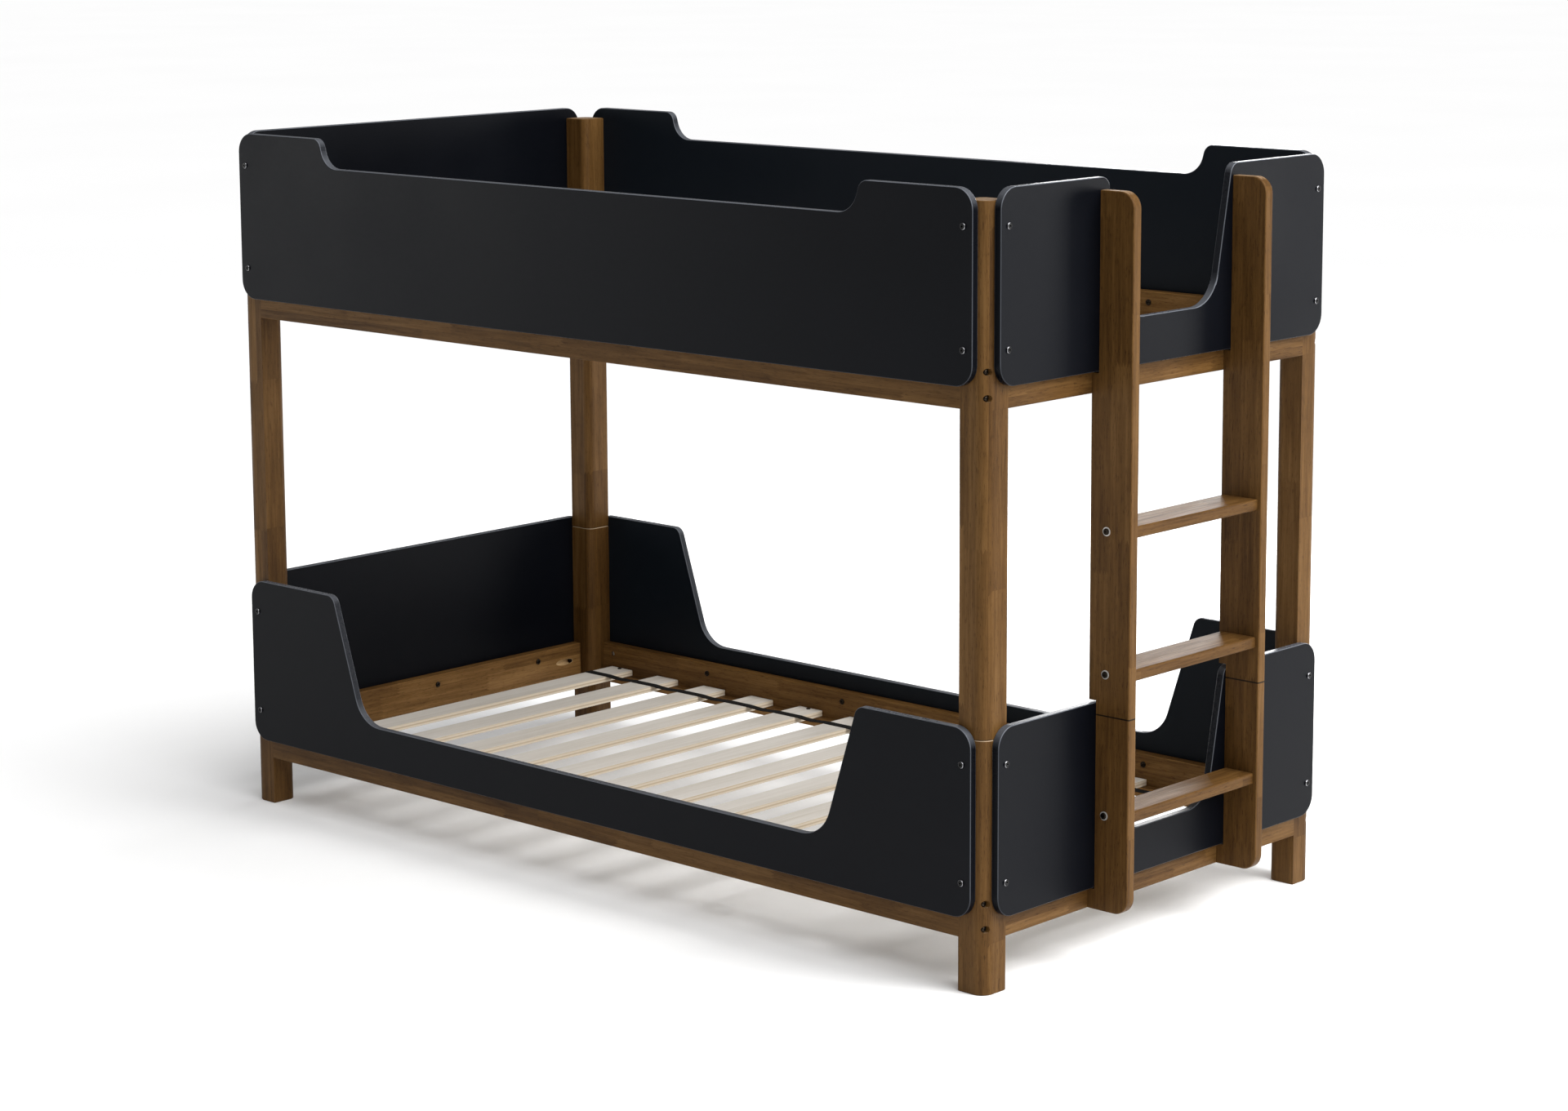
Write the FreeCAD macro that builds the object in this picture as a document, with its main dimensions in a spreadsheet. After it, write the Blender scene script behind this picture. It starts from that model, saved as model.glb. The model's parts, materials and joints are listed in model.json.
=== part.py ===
import FreeCAD, Part
import math
import os
import Sketcher

# Low bunk bed with an end ladder, in millimetres, +Z up.
# +X is the foot end, where the ladder stands, and the bed is symmetric about the XZ plane.
# The origin is on the floor, under the middle of the overall box. The ladder stands out further
# than the head panel and its bolts, so the middle of the posts lies a little towards the head end.
#
# The bed is two units. The lower one goes from the floor to the seam in the posts, and the upper
# one stands on it on six pins and lifts straight off. Each unit has four posts, four rails, four
# panels outside the rails, two cleats, slats, two straps, two ladder stiles and its own rungs.

SIZES = (
    ("frame_length", 1980),
    ("frame_width", 980),
    ("post_side", 58),
    ("post_outer_radius", 24),
    ("post_inner_radius", 16),
    ("post_edge", 1.5),
    ("seam_height", 452),
    ("post_height", 1376),
    ("board", 21),
    ("rail_height", 88),
    ("rail_edge", 2),
    ("lower_rail_bottom", 97),
    ("upper_rail_bottom", 1021),
    ("panel_lift", 40),
    ("panel_height", 337),
    ("panel_thick", 15),
    ("panel_inset", 19),
    ("panel_corner", 38),
    ("panel_edge", 2),
    ("crest_radius", 22),
    ("scoop_floor", 84),
    ("scoop_top_half", 710),
    ("scoop_floor_half", 628),
    ("scoop_floor_radius", 70),
    ("dip_floor", 279),
    ("dip_top_half", 718),
    ("dip_floor_half", 702),
    ("dip_floor_radius", 46),
    ("gate_floor", 85),
    ("gate_top_half", 180),
    ("gate_floor_half", 130),
    ("cleat_width", 20),
    ("cleat_height", 19.5),
    ("cleat_lift", 5.5),
    ("cleat_gap", 4),
    ("slat_width", 66),
    ("slat_thick", 12.5),
    ("slat_gap", 2),
    ("slat_edge", 1.2),
    ("slat_pitch", 145),
    ("slat_count", 13),
    ("slat_screw_step", 4),
    ("slat_screw_bite", 14),
    ("strap_width", 20),
    ("strap_thick", 1.4),
    ("strap_offset", 392),
    ("stile_depth", 88),
    ("stile_gap", 365),
    ("stile_corner", 30),
    ("stile_edge", 2.5),
    ("notch_depth", 15.5),
    ("notch_gap", 3),
    ("rung_first", 271.5),
    ("rung_pitch", 255),
    ("rung_setback", 8),
    ("lower_rung_depth", 64),
    ("upper_rung_depth", 78),
    ("rung_edge", 3.5),
    ("bolt_radius", 3),
    ("bolt_room", 0.3),
    ("bolt_head_radius", 6),
    ("bolt_head_height", 3),
    ("bolt_hex_radius", 2.3),
    ("bolt_hex_depth", 1.8),
    ("thread_fit", 0.05),
    ("panel_bolt_inset", 39.5),
    ("panel_bolt_low", 63),
    ("panel_bolt_high", 272),
    ("panel_bolt_bite", 27),
    ("corner_bolt_spread", 22.5),
    ("counterbore_radius", 6.5),
    ("counterbore_depth", 12),
    ("barrel_inset", 31),
    ("barrel_radius", 5),
    ("barrel_length", 14),
    ("screw_radius", 2),
    ("screw_room", 0.2),
    ("screw_head_radius", 4.5),
    ("screw_head_height", 2.4),
    ("rail_bolt_lift", 66),
    ("rail_bolt_bite", 9),
    ("side_bolt_pitch", 402),
    ("end_bolt_pitch", 300),
    ("stile_screw_lift", 19),
    ("stile_screw_bite", 34),
    ("pocket_radius", 6.5),
    ("pocket_tilt", 15),
    ("pocket_lift", 51),
    ("pocket_floor", 27),
    ("pocket_depth", 15),
    ("pocket_screw_length", 44),
    ("pocket_screw_head_radius", 5.5),
    ("washer_radius", 8),
    ("washer_thick", 1.2),
    ("rung_bolt_inset", 35.5),
    ("rung_bolt_bite", 30),
    ("pin_radius", 5),
    ("pin_length", 70),
    ("pin_room", 0.08),
    ("pin_chamfer", 1.5),
)

# The middle of the posts: half of what the ladder stands out beyond the head end, towards the head.
MIDDLE_X = "(Sizes.panel_thick + Sizes.bolt_head_height - Sizes.stile_depth) / 2"
HALF_LENGTH = "Sizes.frame_length / 2"
HALF_WIDTH = "Sizes.frame_width / 2"
RAIL_BOTTOM = {"lower": "Sizes.lower_rail_bottom", "upper": "Sizes.upper_rail_bottom"}
UNITS = ("lower", "upper")

# Each side of the bed: its turn about Z, and the half sizes along it and out to the posts' faces.
# In its own frame a side's board runs along +X, with its outer face at Y = 0 and +Y inwards.
SIDES = {
    "front": (0, HALF_LENGTH, HALF_WIDTH),
    "foot": (90, HALF_WIDTH, HALF_LENGTH),
    "back": (180, HALF_LENGTH, HALF_WIDTH),
    "head": (270, HALF_WIDTH, HALF_LENGTH),
}
# Each corner: the signs of its X and Y.
CORNERS = {
    "head_front": (-1, -1),
    "head_back": (-1, 1),
    "foot_front": (1, -1),
    "foot_back": (1, 1),
}
X_AXIS = FreeCAD.Vector(1, 0, 0)
Y_AXIS = FreeCAD.Vector(0, 1, 0)
Z_AXIS = FreeCAD.Vector(0, 0, 1)
OVERRUN = 1.0

doc = FreeCAD.newDocument("BunkBed")
sheet = doc.addObject("Spreadsheet::Sheet", "Sizes")
for row, (alias, size) in enumerate(SIZES, start=1):
    sheet.set("A%d" % row, alias)
    sheet.set("B%d" % row, str(size))
    sheet.setAlias("B%d" % row, alias)
doc.recompute()
sub_parts = []


def number(formula):
    """What a formula over the sheet's cells comes to."""
    return float(sheet.evalExpression(str(formula)))


def new_body(label):
    body = doc.addObject("PartDesign::Body", label)
    body.Label = label
    sub_parts.append(body)
    return body


def locate(target, x, y, z):
    """Bind a placement to three formulas, X counted from the middle of the posts."""
    target.setExpression("Placement.Base.x", "%s + (%s)" % (MIDDLE_X, x))
    target.setExpression("Placement.Base.y", y)
    target.setExpression("Placement.Base.z", z)


def locate_on_side(body, side, along, out, z):
    """Stand a board's corner on one side: along is half its length, out is its outer face."""
    turn = SIDES[side][0]
    body.Placement = FreeCAD.Placement(FreeCAD.Vector(), FreeCAD.Rotation(Z_AXIS, turn))
    x, y = {
        0: ("-(%s)" % along, "-(%s)" % out),
        90: (out, "-(%s)" % along),
        180: (along, out),
        270: ("-(%s)" % out, along),
    }[turn]
    locate(body, x, y, z)


def origin_feature(body, role):
    return next(f for f in body.Origin.OriginFeatures if f.Role == role)


def outline(body, role, corners):
    """A closed sketch on one of the body's planes, each corner held by its two formulas."""
    sketch = body.newObject("Sketcher::SketchObject", body.Name + "_outline")
    sketch.AttachmentSupport = (origin_feature(body, role), [""])
    sketch.MapMode = "FlatFace"
    points = [FreeCAD.Vector(number(u), number(v), 0) for u, v in corners]
    count = len(points)
    for index in range(count):
        sketch.addGeometry(Part.LineSegment(points[index], points[(index + 1) % count]), False)
    for index in range(count):
        sketch.addConstraint(Sketcher.Constraint("Coincident", index, 2, (index + 1) % count, 1))
    for index, (u, v) in enumerate(corners):
        for kind, formula, value in (("DistanceX", u, points[index].x), ("DistanceY", v, points[index].y)):
            held = sketch.addConstraint(Sketcher.Constraint(kind, -1, 1, index, 1, value))
            sketch.setExpression("Constraints[%d]" % held, str(formula))
    return sketch


def pad(body, role, corners, length):
    """Pad an outline along the positive axis across its plane."""
    feature = body.newObject("PartDesign::Pad", body.Name + "_pad")
    feature.Profile = outline(body, role, corners)
    feature.setExpression("Length", str(length))
    feature.Reversed = role == "XZ_Plane"
    doc.recompute()
    return feature


def rectangle(width, height):
    return (("0", "0"), (width, "0"), (width, height), ("0", height))


def cut_through(body, corners):
    """Cut an outline on the XZ plane right through the body along Y."""
    before = body.Shape.Volume
    feature = body.newObject("PartDesign::Pocket", body.Name + "_cut")
    feature.Profile = outline(body, "XZ_Plane", corners)
    feature.Type = "ThroughAll"
    feature.Midplane = True
    doc.recompute()
    assert body.Shape.Volume < before, body.Label
    return feature


def dress(body, kind, prop, amount, chosen):
    """Round or bevel the edges of the body that a test picks."""
    base = body.Tip
    names = ["Edge%d" % (i + 1) for i, edge in enumerate(base.Shape.Edges) if chosen(edge)]
    assert names, body.Label
    feature = body.newObject("PartDesign::" + kind, body.Name + "_" + kind.lower())
    feature.Base = (base, names)
    feature.setExpression(prop, amount)
    doc.recompute()
    return feature


def fillet(body, radius, chosen):
    return dress(body, "Fillet", "Radius", radius, chosen)


def chamfer(body, depth, chosen):
    return dress(body, "Chamfer", "Size", depth, chosen)


def drill(body, start, direction, radius, depth):
    """Bore a round hole from a start point, three formulas, along a direction in the body's frame."""
    hole = body.newObject("PartDesign::SubtractiveCylinder", body.Name + "_hole")
    hole.setExpression("Radius", radius)
    hole.setExpression("Height", depth)
    hole.Placement = FreeCAD.Placement(FreeCAD.Vector(), FreeCAD.Rotation(Z_AXIS, direction))
    for axis, formula in zip("xyz", start):
        hole.setExpression("Placement.Base." + axis, formula)
    return hole


def runs_along(edge, axis):
    """Whether a straight edge runs along the axis, 0 for X, 1 for Y, 2 for Z."""
    if len(edge.Vertexes) != 2 or not isinstance(edge.Curve, Part.Line):
        return False
    return abs(abs(edge.tangentAt(edge.FirstParameter)[axis]) - 1) < 1e-6


def near(value, target):
    return abs(value - target) < 0.01


# ---- fasteners -------------------------------------------------------------------------------

THREAD = "Sizes.bolt_radius + Sizes.thread_fit"
CLEAR_HOLE = "Sizes.bolt_radius + Sizes.bolt_room"
SCREW_THREAD = "Sizes.screw_radius + Sizes.thread_fit"
SCREW_HOLE = "Sizes.screw_radius + Sizes.screw_room"


def headed_bolt(shank_radius, head_radius, head_height, grip):
    """A round-headed bolt with a hexagon socket: head above Z = 0, shank below."""
    head = Part.makeCylinder(head_radius, head_height)
    crown = [e for e in head.Edges if near(e.BoundBox.ZMin, head_height)]
    head = head.makeFillet(head_height * 0.6, crown)
    shank = Part.makeCylinder(shank_radius, grip, FreeCAD.Vector(0, 0, -grip))
    tip = [e for e in shank.Edges if near(e.BoundBox.ZMax, -grip)]
    shank = shank.makeChamfer(shank_radius * 0.25, tip)
    socket_radius = number("Sizes.bolt_hex_radius") * head_radius / number("Sizes.bolt_head_radius")
    socket_depth = min(number("Sizes.bolt_hex_depth"), head_height * 0.7)
    corners = [
        FreeCAD.Vector(
            socket_radius * math.cos(math.radians(60 * turn)),
            socket_radius * math.sin(math.radians(60 * turn)),
            head_height - socket_depth,
        )
        for turn in range(7)
    ]
    socket = Part.Face(Part.makePolygon(corners)).extrude(FreeCAD.Vector(0, 0, socket_depth + OVERRUN))
    return head.fuse(shank).cut(socket)


def barrel_nut():
    """A barrel along Z, middle at the origin, bored across along X for its bolt."""
    radius = number("Sizes.barrel_radius")
    length = number("Sizes.barrel_length")
    barrel = Part.makeCylinder(radius, length, FreeCAD.Vector(0, 0, -length / 2))
    bore = Part.makeCylinder(number(THREAD), 2 * length, FreeCAD.Vector(-length, 0, 0), X_AXIS)
    slot = Part.makeBox(2 * radius, 1.2, 1.2, FreeCAD.Vector(-radius, -0.6, length / 2 - 1.2))
    return barrel.cut(bore).cut(slot)


def washer():
    """A flat ring on Z = 0 with its hole clear of the bolt."""
    ring = Part.makeCylinder(number("Sizes.washer_radius"), number("Sizes.washer_thick"))
    return ring.cut(Part.makeCylinder(number(CLEAR_HOLE), number("Sizes.washer_thick")))


def pin():
    """A stacking pin along Z, middle at the origin, with bevelled ends."""
    length = number("Sizes.pin_length")
    rod = Part.makeCylinder(number("Sizes.pin_radius"), length, FreeCAD.Vector(0, 0, -length / 2))
    return rod.makeChamfer(number("Sizes.pin_chamfer"), [e for e in rod.Edges if len(e.Vertexes) == 1])


def group(label, shape, spots):
    """One node of like pieces: the shape's +Z turned to each spot's direction at its place."""
    copies = []
    for place, direction in spots:
        turn = FreeCAD.Rotation(Z_AXIS, FreeCAD.Vector(*direction))
        copies.append(shape.transformed(FreeCAD.Placement(FreeCAD.Vector(*place), turn).toMatrix(), True))
    feature = doc.addObject("Part::Feature", label)
    feature.Label = label
    feature.Shape = Part.makeCompound(copies)
    feature.Placement = FreeCAD.Placement(FreeCAD.Vector(number(MIDDLE_X), 0, 0), FreeCAD.Rotation())
    sub_parts.append(feature)
    return feature


def on_side(side, along, inwards, z):
    """A point on one side: along it from its middle, inwards from the posts' outer faces."""
    turn, _, out = SIDES[side]
    angle = math.radians(turn)
    depth = number(out) - inwards
    x = along * math.cos(angle) + depth * math.sin(angle)
    y = along * math.sin(angle) - depth * math.cos(angle)
    return x, y, z


def outwards(side):
    angle = math.radians(SIDES[side][0])
    return math.sin(angle), -math.cos(angle), 0.0


# ---- posts -----------------------------------------------------------------------------------


def panel_bolt_heights(unit):
    base = "%s + Sizes.panel_lift" % RAIL_BOTTOM[unit]
    return ["%s + Sizes.panel_bolt_low" % base, "%s + Sizes.panel_bolt_high" % base]


def corner_bolt_heights(unit):
    middle = "%s + Sizes.rail_height / 2" % RAIL_BOTTOM[unit]
    return ["%s - Sizes.corner_bolt_spread" % middle, "%s + Sizes.corner_bolt_spread" % middle]


def make_post(unit, corner):
    """A square post, rounded most at its outer corner, less at its inner one, bored for its bolts."""
    sign_x, sign_y = CORNERS[corner]
    bottom = {"lower": "0", "upper": "Sizes.seam_height"}[unit]
    top = {"lower": "Sizes.seam_height", "upper": "Sizes.post_height"}[unit]
    side = number("Sizes.post_side")
    body = new_body("%s_post_%s" % (unit, corner))
    pad(body, "XY_Plane", rectangle("Sizes.post_side", "Sizes.post_side"), "(%s) - (%s)" % (top, bottom))
    outer = (side if sign_x > 0 else 0, side if sign_y > 0 else 0)
    inner = (side - outer[0], side - outer[1])

    def upright_at(spot):
        return lambda edge: (
            runs_along(edge, 2)
            and near(edge.CenterOfMass.x, spot[0])
            and near(edge.CenterOfMass.y, spot[1])
        )

    fillet(body, "Sizes.post_outer_radius", upright_at(outer))
    fillet(body, "Sizes.post_inner_radius", upright_at(inner))
    chamfer(body, "Sizes.post_edge", lambda edge: near(edge.BoundBox.ZLength, 0))

    def across(sign, inset):
        return "Sizes.post_side - (%s)" % inset if sign > 0 else "(%s)" % inset

    outer_x = across(sign_x, "0")
    outer_y = across(sign_y, "0")
    into_x = FreeCAD.Vector(-sign_x, 0, 0)
    into_y = FreeCAD.Vector(0, -sign_y, 0)
    for height in panel_bolt_heights(unit):
        z = "%s - (%s)" % (height, bottom)
        inset = "Sizes.panel_bolt_inset"
        drill(body, (outer_x, across(sign_y, inset), z), into_x, THREAD, "Sizes.panel_bolt_bite + 1")
        drill(body, (across(sign_x, inset), outer_y, z), into_y, THREAD, "Sizes.panel_bolt_bite + 1")
    for height in corner_bolt_heights(unit):
        z = "%s - (%s)" % (height, bottom)
        start = (outer_x, across(sign_y, "Sizes.board / 2"), z)
        drill(body, start, into_x, CLEAR_HOLE, "Sizes.post_side")
        drill(body, start, into_x, "Sizes.counterbore_radius", "Sizes.counterbore_depth")
    run_in = "Sizes.pocket_floor - %g" % OVERRUN
    start = (
        across(sign_x, "Sizes.pocket_depth - (%s) * tan(Sizes.pocket_tilt * 1deg)" % run_in),
        across(sign_y, "Sizes.post_side + %g" % OVERRUN),
        "%s + Sizes.pocket_lift - (%s)" % (RAIL_BOTTOM[unit], bottom),
    )
    tilt = math.radians(number("Sizes.pocket_tilt"))
    into_post = FreeCAD.Vector(sign_x * math.sin(tilt), sign_y * math.cos(tilt), 0)
    drill(body, start, into_post, SCREW_THREAD, "Sizes.pocket_screw_length - (%s)" % run_in)
    middle = "Sizes.post_side / 2"
    pin_hole = "Sizes.pin_radius + Sizes.pin_room"
    if unit == "lower":
        start = (middle, middle, "%s - (%s) - Sizes.pin_length / 2" % (top, bottom))
    else:
        start = (middle, middle, "0")
    drill(body, start, Z_AXIS, pin_hole, "Sizes.pin_length / 2 + Sizes.post_edge")
    locate(
        body,
        "%s - Sizes.post_side" % HALF_LENGTH if sign_x > 0 else "-(%s)" % HALF_LENGTH,
        "%s - Sizes.post_side" % HALF_WIDTH if sign_y > 0 else "-(%s)" % HALF_WIDTH,
        bottom,
    )


# ---- rails and cleats ------------------------------------------------------------------------


def rail_bolt_steps(side):
    """How the rail's bolts into the panel are spread along a side, in steps from its middle."""
    if side in ("front", "back"):
        return "Sizes.side_bolt_pitch", (-1.5, -0.5, 0.5, 1.5)
    return "Sizes.end_bolt_pitch", (-1, 0, 1)


def make_rail(unit, side):
    """A flat board between two posts, its outer face level with theirs."""
    _, half, out = SIDES[side]
    length = "2 * %s - 2 * Sizes.post_side" % half
    body = new_body("%s_rail_%s" % (unit, side))
    pad(body, "XY_Plane", rectangle(length, "Sizes.board"), "Sizes.rail_height")
    fillet(body, "Sizes.rail_edge", lambda edge: runs_along(edge, 0))
    pitch, steps = rail_bolt_steps(side)
    for step in steps:
        start = ("(%s) / 2 + %s * %s" % (length, step, pitch), "0", "Sizes.rail_bolt_lift")
        drill(body, start, Y_AXIS, CLEAR_HOLE, "Sizes.board")
    if side in ("front", "back"):
        bore_side_rail(body, length)
    else:
        bore_end_rail(body, length)
    if side == "foot":
        for sign in (-1, 1):
            x = "(%s) / 2 + %d * (Sizes.stile_gap + Sizes.board) / 2" % (length, sign)
            drill(body, (x, "0", "Sizes.stile_screw_lift"), Y_AXIS, SCREW_HOLE, "Sizes.board")
    locate_on_side(body, side, "(%s) / 2" % length, out, RAIL_BOTTOM[unit])


def bore_side_rail(body, length):
    """Two bolt holes in each end, each with a blind cross hole for its barrel nut."""
    for sign in (-1, 1):
        height = "Sizes.rail_height / 2 + %d * Sizes.corner_bolt_spread" % sign
        reach = "Sizes.barrel_inset + 2 * Sizes.barrel_radius"
        drill(body, ("0", "Sizes.board / 2", height), X_AXIS, CLEAR_HOLE, reach)
        drill(body, (length, "Sizes.board / 2", height), -X_AXIS, CLEAR_HOLE, reach)
        for inset in ("Sizes.barrel_inset", "(%s) - Sizes.barrel_inset" % length):
            drill(
                body,
                (inset, "Sizes.board", height),
                -Y_AXIS,
                "Sizes.barrel_radius + Sizes.thread_fit",
                "(Sizes.board + Sizes.barrel_length) / 2",
            )


def bore_end_rail(body, length):
    """A slanted pocket near each end for the screw into the post."""
    tilt = math.radians(number("Sizes.pocket_tilt"))
    for sign in (-1, 1):
        ahead = FreeCAD.Vector(sign * math.cos(tilt), -math.sin(tilt), 0)
        floor_x = "Sizes.pocket_floor" if sign < 0 else "(%s) - Sizes.pocket_floor" % length
        floor = (floor_x, "Sizes.pocket_depth", "Sizes.pocket_lift")
        drill(body, floor, -ahead, "Sizes.pocket_radius", "Sizes.pocket_floor * 4")
        drill(body, floor, ahead, SCREW_HOLE, "Sizes.pocket_floor * 2")


def make_cleat(unit, side):
    """A batten inside a side rail that carries the slats' ends."""
    length = "Sizes.frame_length - 2 * Sizes.post_side - 2 * Sizes.cleat_gap"
    body = new_body("%s_cleat_%s" % (unit, side))
    pad(body, "XY_Plane", rectangle(length, "Sizes.cleat_width"), "Sizes.cleat_height")
    for x in slat_screw_places():
        start = ("(%s) / 2 + (%s)" % (length, x), "Sizes.cleat_width / 2", "Sizes.cleat_height")
        drill(body, start, -Z_AXIS, SCREW_THREAD, "Sizes.slat_screw_bite")
    locate_on_side(
        body,
        side,
        "(%s) / 2" % length,
        "%s - Sizes.board" % HALF_WIDTH,
        "%s + Sizes.cleat_lift" % RAIL_BOTTOM[unit],
    )


# ---- slats and straps ------------------------------------------------------------------------


def slat_screw_places():
    """Formulas for the X of each screwed slat, from the middle of the bed."""
    count = int(number("Sizes.slat_count"))
    step = int(number("Sizes.slat_screw_step"))
    return ["%g * Sizes.slat_pitch" % (index - (count - 1) / 2) for index in range(0, count, step)]


def slat_bottom(unit):
    return "%s + Sizes.cleat_lift + Sizes.cleat_height" % RAIL_BOTTOM[unit]


def make_slats(unit):
    """Flat boards across the bed, evenly spaced, the first and last near the posts."""
    length = "Sizes.frame_width - 2 * Sizes.board - 2 * Sizes.slat_gap"
    body = new_body("%s_slats" % unit)
    pad(body, "XY_Plane", rectangle("Sizes.slat_width", length), "Sizes.slat_thick")
    edge = fillet(body, "Sizes.slat_edge", lambda edge: runs_along(edge, 1))
    pattern = body.newObject("PartDesign::LinearPattern", body.Name + "_row")
    pattern.Originals = [edge.Base[0], edge]
    pattern.Direction = (origin_feature(body, "X_Axis"), [""])
    pattern.Mode = "Spacing"
    pattern.setExpression("Offset", "Sizes.slat_pitch")
    pattern.setExpression("Occurrences", "Sizes.slat_count")
    body.Tip = pattern
    doc.recompute()
    assert len(body.Shape.Solids) == int(number("Sizes.slat_count"))
    first = "Sizes.slat_width / 2 + (Sizes.slat_count - 1) / 2 * Sizes.slat_pitch"
    inset = "Sizes.cleat_width / 2 - Sizes.slat_gap"
    for x in slat_screw_places():
        for y in (inset, "(%s) - (%s)" % (length, inset)):
            drill(body, ("%s + (%s)" % (first, x), y, "0"), Z_AXIS, SCREW_HOLE, "Sizes.slat_thick")
    locate(body, "-(%s)" % first, "-(%s) / 2" % length, slat_bottom(unit))


def make_strap(unit, side):
    """A webbing strap that lies on all the slats and keeps them apart."""
    length = "(Sizes.slat_count - 1) * Sizes.slat_pitch + Sizes.slat_width"
    body = new_body("%s_strap_%s" % (unit, side))
    pad(body, "XY_Plane", rectangle(length, "Sizes.strap_width"), "Sizes.strap_thick")
    locate_on_side(
        body,
        side,
        "(%s) / 2" % length,
        "Sizes.strap_offset + Sizes.strap_width / 2",
        "%s + Sizes.slat_thick" % slat_bottom(unit),
    )


# ---- panels ----------------------------------------------------------------------------------


def make_panel(unit, side):
    """A painted board outside the posts and rail: plain at the head, cut away on the other sides."""
    _, half, out = SIDES[side]
    length = "2 * %s - 2 * Sizes.panel_inset" % half
    body = new_body("%s_panel_%s" % (unit, side))
    pad(body, "XZ_Plane", rectangle(length, "Sizes.panel_height"), "Sizes.panel_thick")
    panel_length = number(length)
    fillet(body, "Sizes.panel_corner", lambda edge: runs_along(edge, 1))
    cuts = {
        "lower_front": ("scoop_floor", "scoop_top_half", "scoop_floor_half", "scoop_floor_radius"),
        "lower_back": ("scoop_floor", "scoop_top_half", "scoop_floor_half", "scoop_floor_radius"),
        "upper_front": ("dip_floor", "dip_top_half", "dip_floor_half", "dip_floor_radius"),
        "upper_back": ("dip_floor", "dip_top_half", "dip_floor_half", "dip_floor_radius"),
        "lower_foot": ("gate_floor", "gate_top_half", "gate_floor_half", "scoop_floor_radius"),
        "upper_foot": ("gate_floor", "gate_top_half", "gate_floor_half", "scoop_floor_radius"),
    }
    if "%s_%s" % (unit, side) in cuts:
        floor, top_half, floor_half, floor_radius = ["Sizes." + a for a in cuts["%s_%s" % (unit, side)]]
        middle = "(%s) / 2" % length
        cut_through(
            body,
            (
                ("%s - %s" % (middle, floor_half), floor),
                ("%s + %s" % (middle, floor_half), floor),
                ("%s + %s" % (middle, top_half), "Sizes.panel_height"),
                ("%s - %s" % (middle, top_half), "Sizes.panel_height"),
            ),
        )

        def cut_corner(height, reach):
            return lambda edge: (
                runs_along(edge, 1)
                and near(edge.CenterOfMass.z, number(height))
                and near(abs(edge.CenterOfMass.x - panel_length / 2), number(reach))
            )

        fillet(body, floor_radius, cut_corner(floor, floor_half))
        fillet(body, "Sizes.crest_radius", cut_corner("Sizes.panel_height", top_half))
    fillet(body, "Sizes.panel_edge", lambda edge: near(edge.BoundBox.YLength, 0))
    inset = "Sizes.panel_bolt_inset - Sizes.panel_inset"
    for x in (inset, "(%s) - (%s)" % (length, inset)):
        for z in ("Sizes.panel_bolt_low", "Sizes.panel_bolt_high"):
            drill(body, (x, "0", z), Y_AXIS, CLEAR_HOLE, "Sizes.panel_thick")
    pitch, steps = rail_bolt_steps(side)
    for step in steps:
        start = (
            "(%s) / 2 + %s * %s" % (length, step, pitch),
            "Sizes.panel_thick",
            "Sizes.rail_bolt_lift - Sizes.panel_lift",
        )
        drill(body, start, -Y_AXIS, THREAD, "Sizes.rail_bolt_bite + 1")
    locate_on_side(
        body,
        side,
        "(%s) / 2" % length,
        "%s + Sizes.panel_thick" % out,
        "%s + Sizes.panel_lift" % RAIL_BOTTOM[unit],
    )


# ---- ladder ----------------------------------------------------------------------------------


def rungs_of(unit):
    """Rung numbers, from the lowest: the lower unit holds one, the upper unit two."""
    return {"lower": (0,), "upper": (1, 2)}[unit]


def rung_height(index):
    return "Sizes.rung_first + %d * Sizes.rung_pitch" % index


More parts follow.
